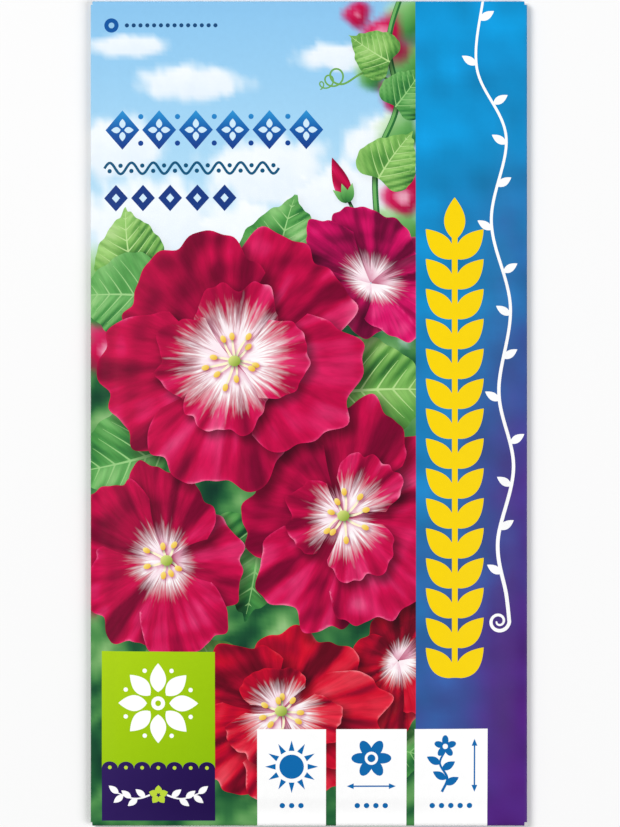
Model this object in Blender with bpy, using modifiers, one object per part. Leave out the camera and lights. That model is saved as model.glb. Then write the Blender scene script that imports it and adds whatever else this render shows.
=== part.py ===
"""A sealed paper seed packet with its seeds inside, lying on its back.

The packet is one die-cut paper blank. Its two wings fold behind the front panel
and overlap down the middle of the back, and a flap at each end folds over the
wings. The seeds lie loose between the wings and the bulging front panel.
X runs across the packet, Y up the printed front, and Z out of the front.
"""

import math
import random

import bmesh
import bpy
from mathutils import Matrix, Vector

# Driving dimensions, in metres
PACKET_WIDTH = 0.082
PACKET_HEIGHT = 0.155
PAPER = 0.0002
LAYER_GAP = 0.0002
SEAM_OVERLAP = 0.009
TOP_FLAP = 0.014
BOTTOM_FLAP = 0.011
FLAP_TAPER = 0.0045
BULGE = 0.0045

SEED_COUNT = 14
SEED_LENGTH = 0.0056
SEED_WIDTH = 0.0044
SEED_HEIGHT = 0.0027
SEED_WEDGE = math.radians(76)
SEED_CLEARANCE = 0.0003
SEED_SPACING = 0.0078
SEED_FIELD_X = (-0.027, 0.027)
SEED_FIELD_Y = (-0.056, 0.004)
SEED_DRAW = 7

# Heights of the middle of the paper in each layer, from the back up
LAYER_STEP = PAPER + LAYER_GAP
FLAP_Z = PAPER / 2
OUTER_WING_Z = FLAP_Z + LAYER_STEP
INNER_WING_Z = OUTER_WING_Z + LAYER_STEP
FRONT_Z = INNER_WING_Z + LAYER_STEP

# Fold radii, to the middle of the paper, and where each fold starts on the front
LEFT_RADIUS = (FRONT_Z - INNER_WING_Z) / 2
RIGHT_RADIUS = (FRONT_Z - OUTER_WING_Z) / 2
END_RADIUS = (FRONT_Z - FLAP_Z) / 2
LEFT_FOLD = PACKET_WIDTH / 2 - PAPER / 2 - LEFT_RADIUS
RIGHT_FOLD = PACKET_WIDTH / 2 - PAPER / 2 - RIGHT_RADIUS
END_FOLD = PACKET_HEIGHT / 2 - PAPER / 2 - END_RADIUS

# The bulge of the front panel: fullest low down, where the seeds gather
BULGE_PEAK = 0.38
SIDE_POWER = 3.0
LOW_POWER = 3.0
HIGH_POWER = 2.2

# Facets along the blank
FRONT_COLUMNS = 18
FRONT_ROWS = 28
WING_COLUMNS = 4
FLAP_ROWS = 2
FOLD_STEPS = 6

PRINT_COLOUR = (0.62, 0.03, 0.11, 1.0)
SEED_COLOUR = (0.035, 0.022, 0.016, 1.0)


def clear_scene():
    for obj in list(bpy.data.objects):
        bpy.data.objects.remove(obj, do_unlink=True)


def new_collection(name):
    collection = bpy.data.collections.new(name)
    bpy.context.scene.collection.children.link(collection)
    return collection


def principled(name, colour, roughness):
    material = bpy.data.materials.new(name)
    material.use_nodes = True
    shader = material.node_tree.nodes["Principled BSDF"]
    shader.inputs["Base Color"].default_value = colour
    shader.inputs["Roughness"].default_value = roughness
    shader.inputs["Metallic"].default_value = 0.0
    return material


def bulge_at(x, y):
    """How far the front panel stands above its folded edges."""
    half = LEFT_FOLD if x < 0 else RIGHT_FOLD
    across = 1 - min(1.0, abs(x) / half) ** SIDE_POWER
    along = (y + END_FOLD) / (2 * END_FOLD)
    if along < BULGE_PEAK:
        rise = 1 - max(0.0, 1 - along / BULGE_PEAK) ** LOW_POWER
    else:
        rise = 1 - min(1.0, (along - BULGE_PEAK) / (1 - BULGE_PEAK)) ** HIGH_POWER
    return BULGE * across * rise


def side_fold(u, fold, radius):
    """Distance across and drop below the front, for a point u from the middle line."""
    arc = math.pi * radius
    if u <= fold:
        return u, 0.0
    if u <= fold + arc:
        turn = (u - fold) / radius
        return fold + radius * math.sin(turn), radius * (1 - math.cos(turn))
    return fold - (u - fold - arc), 2 * radius


def folded(u, v):
    """Where the flat blank's point (u, v) lies on the folded packet, at mid-paper."""
    sign_u = -1 if u < 0 else 1
    sign_v = -1 if v < 0 else 1
    if abs(v) > END_FOLD:
        y, drop = side_fold(abs(v), END_FOLD, END_RADIUS)
        beyond = max(0.0, abs(v) - END_FOLD - math.pi * END_RADIUS)
        length = TOP_FLAP if v > 0 else BOTTOM_FLAP
        narrowed = u * (1 - FLAP_TAPER / LEFT_FOLD * beyond / length)
        return Vector((narrowed, sign_v * y, FRONT_Z - drop))
    fold, radius = (LEFT_FOLD, LEFT_RADIUS) if u < 0 else (RIGHT_FOLD, RIGHT_RADIUS)
    x, drop = side_fold(abs(u), fold, radius)
    rise = bulge_at(u, v) if abs(u) < fold else 0.0
    return Vector((sign_u * x, v, FRONT_Z - drop + rise))


def stations(*stretches):
    """Coordinates along the blank, from (start, end, steps) stretches that meet."""
    found = [stretches[0][0]]
    for start, end, steps in stretches:
        found += [start + (end - start) * i / steps for i in range(1, steps + 1)]
    return found


def blank_columns():
    left_arc = LEFT_FOLD + math.pi * LEFT_RADIUS
    right_arc = RIGHT_FOLD + math.pi * RIGHT_RADIUS
    left_end = left_arc + LEFT_FOLD + SEAM_OVERLAP / 2
    right_end = right_arc + RIGHT_FOLD + SEAM_OVERLAP / 2
    return stations(
        (-left_end, -left_arc, WING_COLUMNS),
        (-left_arc, -LEFT_FOLD, FOLD_STEPS),
        (-LEFT_FOLD, RIGHT_FOLD, FRONT_COLUMNS),
        (RIGHT_FOLD, right_arc, FOLD_STEPS),
        (right_arc, right_end, WING_COLUMNS),
    )


def blank_rows():
    arc = END_FOLD + math.pi * END_RADIUS
    return stations(
        (-arc - BOTTOM_FLAP, -arc, FLAP_ROWS),
        (-arc, -END_FOLD, FOLD_STEPS),
        (-END_FOLD, END_FOLD, FRONT_ROWS),
        (END_FOLD, arc, FOLD_STEPS),
        (arc, arc + TOP_FLAP, FLAP_ROWS),
    )


def make_packet(collection):
    """The paper blank: a cross cut from a grid, folded shut and given its thickness."""
    columns, rows = blank_columns(), blank_rows()
    across, up = len(columns) - 1, len(rows) - 1
    bm = bmesh.new()
    bmesh.ops.create_grid(bm, x_segments=across, y_segments=up, size=1.0)
    on_blank = {}
    for vert in bm.verts:
        column = round((vert.co.x + 1) / 2 * across)
        row = round((vert.co.y + 1) / 2 * up)
        on_blank[vert] = (columns[column], rows[row])

    def in_a_corner(face):
        middle_u = sum(on_blank[vert][0] for vert in face.verts) / len(face.verts)
        middle_v = sum(on_blank[vert][1] for vert in face.verts) / len(face.verts)
        beside = middle_u < -LEFT_FOLD or middle_u > RIGHT_FOLD
        return beside and abs(middle_v) > END_FOLD

    corners = [face for face in bm.faces if in_a_corner(face)]
    bmesh.ops.delete(bm, geom=corners, context="FACES")
    for vert in bm.verts:
        vert.co = folded(*on_blank[vert])
    mesh = bpy.data.meshes.new("packet_paper")
    bm.to_mesh(mesh)
    bm.free()
    mesh.shade_smooth()
    mesh.set_sharp_from_angle(angle=math.radians(50))
    packet = bpy.data.objects.new("packet_paper", mesh)
    collection.objects.link(packet)
    packet.data.materials.append(principled("printed_paper", PRINT_COLOUR, 0.35))
    thickness = packet.modifiers.new("Paper thickness", "SOLIDIFY")
    thickness.thickness = PAPER
    thickness.offset = 0.0
    thickness.use_even_offset = True
    return packet


def seed_mesh():
    """A wedge-shaped seed on one of its two flat sides, like a segment of an orange."""
    bm = bmesh.new()
    bmesh.ops.create_uvsphere(bm, u_segments=12, v_segments=8, radius=1.0)
    bmesh.ops.rotate(bm, verts=bm.verts, matrix=Matrix.Rotation(math.pi / 2, 3, "Y"))
    slant = Vector((0, -math.sin(SEED_WEDGE), math.cos(SEED_WEDGE)))
    for normal in (Vector((0, 0, -1)), slant):
        everything = bm.verts[:] + bm.edges[:] + bm.faces[:]
        bmesh.ops.bisect_plane(
            bm, geom=everything, dist=1e-5, plane_co=(0, 0, 0), plane_no=normal, clear_outer=True
        )
        open_edges = [edge for edge in bm.edges if edge.is_boundary]
        bmesh.ops.holes_fill(bm, edges=open_edges, sides=0)
    bmesh.ops.remove_doubles(bm, verts=bm.verts, dist=1e-4)
    bmesh.ops.triangulate(bm, faces=bm.faces)
    bmesh.ops.recalc_face_normals(bm, faces=bm.faces)
    low = Vector([min(vert.co[i] for vert in bm.verts) for i in range(3)])
    high = Vector([max(vert.co[i] for vert in bm.verts) for i in range(3)])
    size = (SEED_LENGTH, SEED_WIDTH, SEED_HEIGHT)
    for vert in bm.verts:
        for i in range(3):
            share = (vert.co[i] - low[i]) / (high[i] - low[i])
            vert.co[i] = size[i] * (share - (0 if i == 2 else 0.5))
    mesh = bpy.data.meshes.new("seed")
    bm.to_mesh(mesh)
    bm.free()
    mesh.shade_smooth()
    mesh.set_sharp_from_angle(angle=math.radians(40))
    mesh.materials.append(principled("seed_coat", SEED_COLOUR, 0.6))
    return mesh


def floor_at(x):
    """The top of the wing that a seed at x lies on, or None across the inner wing's edge."""
    edge = SEAM_OVERLAP / 2
    if x < edge - SEED_LENGTH / 2:
        return INNER_WING_Z + PAPER / 2
    if x > edge + SEED_LENGTH / 2 + SEED_CLEARANCE:
        return OUTER_WING_Z + PAPER / 2
    return None


def seed_places():
    """Random spots in the fullest part of the packet, clear of each other and the front."""
    draw = random.Random(SEED_DRAW)
    places = []
    while len(places) < SEED_COUNT:
        x = draw.uniform(*SEED_FIELD_X)
        y = draw.uniform(*SEED_FIELD_Y)
        turn = draw.uniform(0, 2 * math.pi)
        floor = floor_at(x)
        if floor is None:
            continue
        top = floor + 2 * SEED_CLEARANCE + SEED_HEIGHT
        reach = SEED_LENGTH / 2
        corners = [(x + dx, y + dy) for dx in (-reach, reach) for dy in (-reach, reach)]
        under = min(FRONT_Z - PAPER / 2 + bulge_at(*corner) for corner in corners)
        apart = all(math.dist((x, y), place[:2]) > SEED_SPACING for place in places)
        if apart and top < under:
            places.append((x, y, floor + SEED_CLEARANCE, turn))
    return places


def make_seeds(collection):
    mesh = seed_mesh()
    for number, (x, y, z, turn) in enumerate(seed_places(), start=1):
        seed = bpy.data.objects.new(f"seed_{number:02d}", mesh)
        seed.location = (x, y, z)
        seed.rotation_euler = (0, 0, turn)
        collection.objects.link(seed)


def main():
    clear_scene()
    collection = new_collection("seed_packet")
    make_packet(collection)
    make_seeds(collection)


main()
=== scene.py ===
"""Looks of the seed packet: a printed paper blank, folded round its seeds.

The print is drawn as flat shapes on the unfolded blank, in millimetres. The blank is
then cut into triangles along every outline, each triangle takes the paint of the
topmost shape over it, and the whole sheet is folded as the packet is.
"""

import math
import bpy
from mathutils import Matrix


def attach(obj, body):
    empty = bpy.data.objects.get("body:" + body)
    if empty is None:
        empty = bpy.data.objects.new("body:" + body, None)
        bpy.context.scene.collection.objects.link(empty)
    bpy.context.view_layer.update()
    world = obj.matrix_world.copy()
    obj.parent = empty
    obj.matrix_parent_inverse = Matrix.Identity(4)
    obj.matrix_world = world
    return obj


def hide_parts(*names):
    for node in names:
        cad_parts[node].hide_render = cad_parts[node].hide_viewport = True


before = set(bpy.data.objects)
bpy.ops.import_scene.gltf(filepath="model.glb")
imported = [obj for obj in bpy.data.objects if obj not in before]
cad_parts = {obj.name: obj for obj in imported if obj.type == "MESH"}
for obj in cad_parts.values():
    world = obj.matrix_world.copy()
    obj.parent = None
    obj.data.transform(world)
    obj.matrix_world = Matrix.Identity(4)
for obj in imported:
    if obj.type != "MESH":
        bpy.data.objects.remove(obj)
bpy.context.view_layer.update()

from types import SimpleNamespace

import bpy
import numpy as np
from mathutils import Vector
from mathutils.geometry import delaunay_2d_cdt

# The folded packet, in millimetres, as the solids are built
WIDTH = 82.0
HEIGHT = 155.0
PAPER = 0.2
LAYER_STEP = 0.4
SEAM_OVERLAP = 9.0
TOP_FLAP = 14.0
BOTTOM_FLAP = 11.0
FLAP_TAPER = 4.5
BULGE = 4.5
BULGE_PEAK = 0.38
SIDE_POWER = 3.0
LOW_POWER = 3.0
HIGH_POWER = 2.2
FLAP_Z = PAPER / 2
OUTER_WING_Z = FLAP_Z + LAYER_STEP
INNER_WING_Z = OUTER_WING_Z + LAYER_STEP
FRONT_Z = INNER_WING_Z + LAYER_STEP
LEFT_RADIUS = (FRONT_Z - INNER_WING_Z) / 2
RIGHT_RADIUS = (FRONT_Z - OUTER_WING_Z) / 2
END_RADIUS = (FRONT_Z - FLAP_Z) / 2
LEFT_FOLD = WIDTH / 2 - PAPER / 2 - LEFT_RADIUS
RIGHT_FOLD = WIDTH / 2 - PAPER / 2 - RIGHT_RADIUS
END_FOLD = HEIGHT / 2 - PAPER / 2 - END_RADIUS
LEFT_TURN = LEFT_FOLD + math.pi * LEFT_RADIUS
RIGHT_TURN = RIGHT_FOLD + math.pi * RIGHT_RADIUS
END_TURN = END_FOLD + math.pi * END_RADIUS
LEFT_END = LEFT_TURN + LEFT_FOLD + SEAM_OVERLAP / 2
RIGHT_END = RIGHT_TURN + RIGHT_FOLD + SEAM_OVERLAP / 2

# How the sheet is cut: the spacing of its points on the printed and on the bare side, how
# far they keep from drawn lines there, and the longest side of an outline, edge and path
PITCH = 0.455
INSIDE_PITCH = 3.0
CLEAR = 0.26
INSIDE_CLEAR = 1.0
OUTLINE_STEP = 0.55
EDGE_STEP = 1.0
PATH_STEP = 0.5
FOLD_LINE_STEP = 1.2
FOLD_STEPS = 8
PAIRS_AT_ONCE = 2000000

# The light in the printed picture: where it comes from, where a shadow falls and how dark
# it is, and how much of it the red, green and blue of a pale throat take
LIGHT = np.array([-0.46, 0.52, 0.72])
LIGHT /= np.linalg.norm(LIGHT)
SHADOW_WAY = np.array([0.50, -0.55])
SHADOW_DEPTH = 0.46
PALE_SHADOW = (0.35, 1.0, 0.75)

# On the front, where the band starts and how far the print runs past the folds
BAND_X = 20.0
BLEED = 1.6

WHITE = (255, 255, 255)
YELLOW = (247, 212, 2)
RED = (206, 16, 66)
SOIL = (120, 84, 54)
GREEN = (70, 140, 60)
TILE_INK = (8, 104, 172)
BACK_BLUES = ((20, 140, 206), (58, 84, 158), (86, 40, 118))
CRIMSON = ((118, 0, 44), (148, 2, 54), (174, 4, 62), (194, 6, 70), (214, 40, 100), (242, 132, 166))
MAGENTA = ((104, 4, 50), (148, 6, 70), (184, 6, 84), (208, 16, 98), (226, 58, 124), (248, 146, 180))
SCARLET = ((100, 4, 28), (144, 4, 38), (180, 4, 42), (202, 10, 42), (220, 48, 68), (244, 134, 142))
LEAF = ((16, 66, 40), (40, 108, 54), (74, 146, 70), (108, 174, 96), (152, 202, 130), (202, 228, 182))
YOUNG_LEAF = ((38, 90, 44), (72, 134, 58), (108, 166, 78), (146, 196, 106), (184, 218, 146), (220, 238, 194))


# Small tools for the drawing

def smoothstep(low, high, value):
    share = np.clip((value - low) / (high - low), 0, 1)
    return share * share * (3 - 2 * share)


def ramp(value, colours):
    """Colours of 0 to 255, evenly spaced, read at value 0 to 1 and held beyond."""
    stops = np.linspace(0, 1, len(colours))
    return np.stack([np.interp(value, stops, channel) for channel in np.array(colours, float).T], -1)


def mixed(first, second, share):
    share = share[:, None]
    return first * (1 - share) + share * np.array(second)


def spaced(first, apart, count):
    """So many numbers from the first on, evenly spaced."""
    return first + apart * np.arange(count)


def together(x, y):
    """Points from their x and y, either of which may be one number."""
    return np.stack(np.broadcast_arrays(x, y), 1)


def turned(xy, angle):
    x, y = np.asarray(xy, float).T
    c, s = math.cos(angle), math.sin(angle)
    return together(x * c - y * s, x * s + y * c)


def ripple(xy, wavelength, seed):
    """Smooth seeded noise, mostly within -1 to 1: a sum of plane waves."""
    draw_from = np.random.default_rng(seed)
    waves = 14
    total = np.zeros(len(xy))
    for _ in range(waves):
        turn, phase = draw_from.uniform(0, math.tau, 2)
        length = wavelength * draw_from.uniform(0.55, 1.8)
        along = xy[:, 0] * math.cos(turn) + xy[:, 1] * math.sin(turn)
        total += np.sin(along * math.tau / length + phase)
    return total / math.sqrt(waves)


def smooth_path(points):
    """A smooth curve that passes through the points."""
    points = np.array(points, float)
    padded = np.vstack([2 * points[0] - points[1], points, 2 * points[-1] - points[-2]])
    found = []
    for a, b, c, d in zip(padded, padded[1:], padded[2:], padded[3:]):
        count = max(2, int(np.linalg.norm(c - b) / PATH_STEP))
        t = np.linspace(0, 1, count, endpoint=False)[:, None]
        second, third = 2 * a - 5 * b + 4 * c - d, 3 * b - a - 3 * c + d
        found.append(0.5 * (2 * b + (c - a) * t + second * t**2 + third * t**3))
    return np.vstack(found + [points[-1:]])


def closed_steps(outline, step):
    """The closed outline with no side longer than step."""
    found = []
    for a, b in zip(outline, np.roll(outline, -1, axis=0)):
        count = max(1, math.ceil(np.linalg.norm(b - a) / step))
        found.append(a + (b - a) * (np.arange(count) / count)[:, None])
    return np.vstack(found)


def in_parts(count, sides):
    """Numbers up to count, in parts that keep the tables of points and sides small."""
    return np.array_split(np.arange(count), count * sides // PAIRS_AT_ONCE + 1)


def inside(xy, outline):
    """Whether each point is inside the closed outline, which may cross itself."""
    within = np.zeros(len(xy), bool)
    near = np.flatnonzero(((xy >= outline.min(0)) & (xy <= outline.max(0))).all(1))
    (ax, ay), (bx, by) = outline.T, np.roll(outline, -1, axis=0).T
    for part in in_parts(len(near), len(outline)):
        x, y = xy[near[part]].T[:, :, None]
        spans = (ay > y).astype(int) - (by > y)
        with np.errstate(divide="ignore", invalid="ignore"):
            crossing = x < (bx - ax) * (y - ay) / (by - ay) + ax
        within[near[part]] = (spans * crossing).sum(1) != 0
    return within


def distance_to(xy, outline):
    """Distance from each point to the closed outline's nearest side."""
    found = np.empty(len(xy))
    side = np.roll(outline, -1, axis=0) - outline
    length_squared = np.maximum((side**2).sum(1), 1e-12)
    for part in in_parts(len(xy), len(outline)):
        gap = xy[part][:, None] - outline
        t = np.clip((gap * side).sum(2) / length_squared, 0, 1)
        found[part] = np.sqrt(((gap - t[..., None] * side) ** 2).sum(2).min(1))
    return found


# What a shape's paint gives for each point: ink colour, pale colour, streak coordinates,
# the streaks' strength, and how far out it is from a flower's throat
INK, PALE, RAY, GRAIN, THROAT = slice(0, 3), slice(3, 6), slice(6, 9), 9, 10
COLUMNS = 11
NO_THROAT = 9.0


def rows(ink, pale=None, ray=(0, 0, 0), grain=0.0, throat=NO_THROAT):
    found = np.zeros((len(ink), COLUMNS))
    found[:, INK] = ink
    found[:, PALE] = ink if pale is None else pale
    found[:, RAY] = np.stack(np.broadcast_arrays(*ray), -1)
    found[:, GRAIN] = grain
    found[:, THROAT] = throat
    return found


def flat(colour):
    return lambda xy: rows(np.tile(np.array(colour, float), (len(xy), 1)))


def fade(low, high, colours):
    """Paint that runs through the colours from point low to point high."""
    low, high = np.array(low, float), np.array(high, float)
    way = high - low
    return lambda xy: rows(ramp(((xy - low) @ way) / (way @ way), colours))


shapes = []


def draw(outline, paint, shadow=0.0, coarse=1, depth=SHADOW_DEPTH, takes=1.0):
    """Adds a flat shape to the print, in a paint or a plain colour.

    shadow is how far its shadow reaches over what is below, depth is how dark that is, takes
    is its share of others' shadows, and coarse, 1 to 3, is how coarse a mesh will do for it.
    """
    outline = closed_steps(np.array(outline, float), OUTLINE_STEP)
    paint = paint if callable(paint) else flat(paint)
    shapes.append(SimpleNamespace(
        outline=outline, paint=paint, shadow=shadow, coarse=coarse, depth=depth, takes=takes
    ))


def rectangle(x0, y0, x1, y1):
    return np.array([(x0, y0), (x1, y0), (x1, y1), (x0, y1)])


def rounded(x0, y0, x1, y1, radius):
    """A rectangle with round corners."""
    left, low, right, high = x0 + radius, y0 + radius, x1 - radius, y1 - radius
    quarter = np.arange(6) / 5
    found = []
    for number, middle in enumerate(((right, high), (left, high), (left, low), (right, low))):
        t = (number + quarter) * math.pi / 2
        found.append(middle + radius * together(np.cos(t), np.sin(t)))
    return np.vstack(found)


def ellipse(x, y, across, up, count=28, angle=0.0):
    t = np.arange(count) * math.tau / count
    return turned(together(across * np.cos(t), up * np.sin(t)), angle) + (x, y)


def lozenge(x, y, across, up):
    return np.array([(x - across / 2, y), (x, y - up / 2), (x + across / 2, y), (x, y + up / 2)])


def strip(path, start, end):
    """A tapering band along a path, as an outline."""
    way = np.gradient(path, axis=0)
    way /= np.maximum(np.linalg.norm(way, axis=1), 1e-9)[:, None]
    side = together(-way[:, 1], way[:, 0]) * np.linspace(start, end, len(path))[:, None] / 2
    return np.vstack([path + side, (path - side)[::-1]])


def blade(half, along):
    """A pointed outline, from its half-widths along +Y."""
    return np.vstack([together(half, along), together(-half, along)[::-1][1:-1]])


def leaf_blade(x, y, length, width, angle):
    """A plain pointed leaf with its foot at (x, y), turned from +Y by so many degrees."""
    t = np.linspace(0, 1, 16)
    half = width / 2 * np.sin(math.pi * t**0.85) ** 0.9
    return turned(blade(half, t * length), math.radians(angle)) + (x, y)


def dot(x, y, radius, paint, count=12):
    draw(ellipse(x, y, radius, radius, count), paint)


def blade_ring(x, y, count, gap, length, width, paint, put=draw):
    """Blades that point away from (x, y), the first one up, with their feet so far from it."""
    for angle in spaced(0, 360 / count, count):
        foot = (x, y) + turned([(0, gap)], math.radians(angle))[0]
        put(leaf_blade(*foot, length, width, angle), paint)


def petal_ring(x, y, count, start, reach, across, up, steps):
    """Oval petals about (x, y) in the tiles' ink, the first one turned a share of a step from +X."""
    for number in range(count):
        turn = (number + start) * math.tau / count
        middle = (x, y) + turned([(reach, 0)], turn)[0]
        draw(ellipse(*middle, across, up, steps, turn), TILE_INK)


def slopes(height, xy):
    """The slope of a height over the picture, along x and y."""
    step = 0.06
    here = height(xy)
    return together((height(xy + (step, 0)) - here) / step, (height(xy + (0, step)) - here) / step)


def facing(slope):
    """How squarely a surface of that slope faces the picture's light."""
    normal = np.column_stack([-slope, np.ones(len(slope))])
    return normal @ LIGHT / np.linalg.norm(normal, axis=1)


# Leaves

class Leaf:
    """A heart-shaped leaf: where its foot is, which way it points and how it bends."""

    VEINS = 6
    SLOPE = 0.44
    CURVE = 0.35
    FOOT = 0.03
    RIBBED = 0.86
    SPINE = 0.84
    NOTCH = 0.16
    TIP = 0.07

    def __init__(self, x, y, length, width, angle, bend, colours, seed, bright=0.0):
        self.foot = np.array([x, y])
        self.length, self.width = length, width
        self.angle, self.bend = math.radians(angle), bend
        self.colours, self.seed, self.bright = colours, seed, bright

    def outline(self):
        """The edge, with a notch at its foot at the origin, and its tip along +Y."""
        t = np.linspace(0, math.tau, 90, endpoint=False)
        wave = 1 + 0.014 * np.sin(11 * t + self.seed) + 0.01 * np.sin(19 * t + 2 * self.seed)
        y = self.length * (0.5 + 0.5 * np.cos(t)) * wave
        y += self.length * self.NOTCH * np.exp(-(((t - math.pi) / 0.42) ** 2))
        y += self.length * self.TIP * np.exp(-((np.minimum(t, math.tau - t) / 0.30) ** 2))
        x = self.width * np.sin(t) * np.abs(np.sin(t / 2)) ** 0.75 * wave
        return together(x, y - self.length * self.NOTCH)

    def vein(self, across):
        """How far a side vein has risen, in shares of the leaf's size."""
        return self.SLOPE * across * (1 + self.CURVE * across)

    def out(self, local):
        """From the leaf's own plane to the picture."""
        x, y = local.T
        return turned(together(x + self.bend * y**2 / self.length, y), self.angle) + self.foot

    def back(self, xy):
        """From the picture to x and y in the leaf's own plane."""
        x, y = turned(xy - self.foot, -self.angle).T
        return x - self.bend * y**2 / self.length, y

    def height(self, xy):
        x, y = self.back(xy)
        across, along = np.abs(x) / self.width, y / self.length
        rib = (along - self.vein(across) - self.FOOT) * self.VEINS / self.RIBBED
        quilt = 0.008 * (0.5 - 0.5 * np.cos(math.tau * rib)) * np.minimum(1, across * 4)
        fold = 0.102 * np.sqrt(across**2 + 0.004)
        cup = -0.15 * across**2 - 0.175 * (along - 0.4) ** 2
        return self.length * (quilt + fold + cup + 0.022 * ripple(xy, self.length * 0.6, self.seed))

    def paint(self, xy):
        x, y = self.back(xy)
        light = facing(slopes(self.height, xy)) - LIGHT[2]
        value = 0.46 + self.bright + 1.15 * light + 0.07 * ripple(xy, self.length * 0.8, self.seed + 5)
        ray = (1.3 * (y - 0.6 * np.abs(x)), 0.18 * np.abs(x), self.seed * 3.1)
        return rows(ramp(value, self.colours), ray=ray, grain=0.32)

    def draw(self):
        edge = self.outline()
        draw(self.out(edge), self.paint, shadow=1.4)
        rib = ramp(0.76 + self.bright, self.colours)
        share = np.linspace(0, 1, 40)
        for side in (-1, 1):
            for start in spaced(self.FOOT, self.RIBBED / self.VEINS, self.VEINS):
                path = together(side * share * self.width, (start + self.vein(share)) * self.length)
                within = inside(path * 1.10, edge)
                last = len(within) if within.all() else max(3, np.argmin(within))
                draw(strip(self.out(path[:last]), self.length * 0.017, 0.06), rib)
        spine = together(0.0, np.linspace(0.0, self.SPINE, 20) * self.length)
        draw(strip(self.out(spine), self.length * 0.030, 0.08), rib * 1.02)


# Flowers

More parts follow.
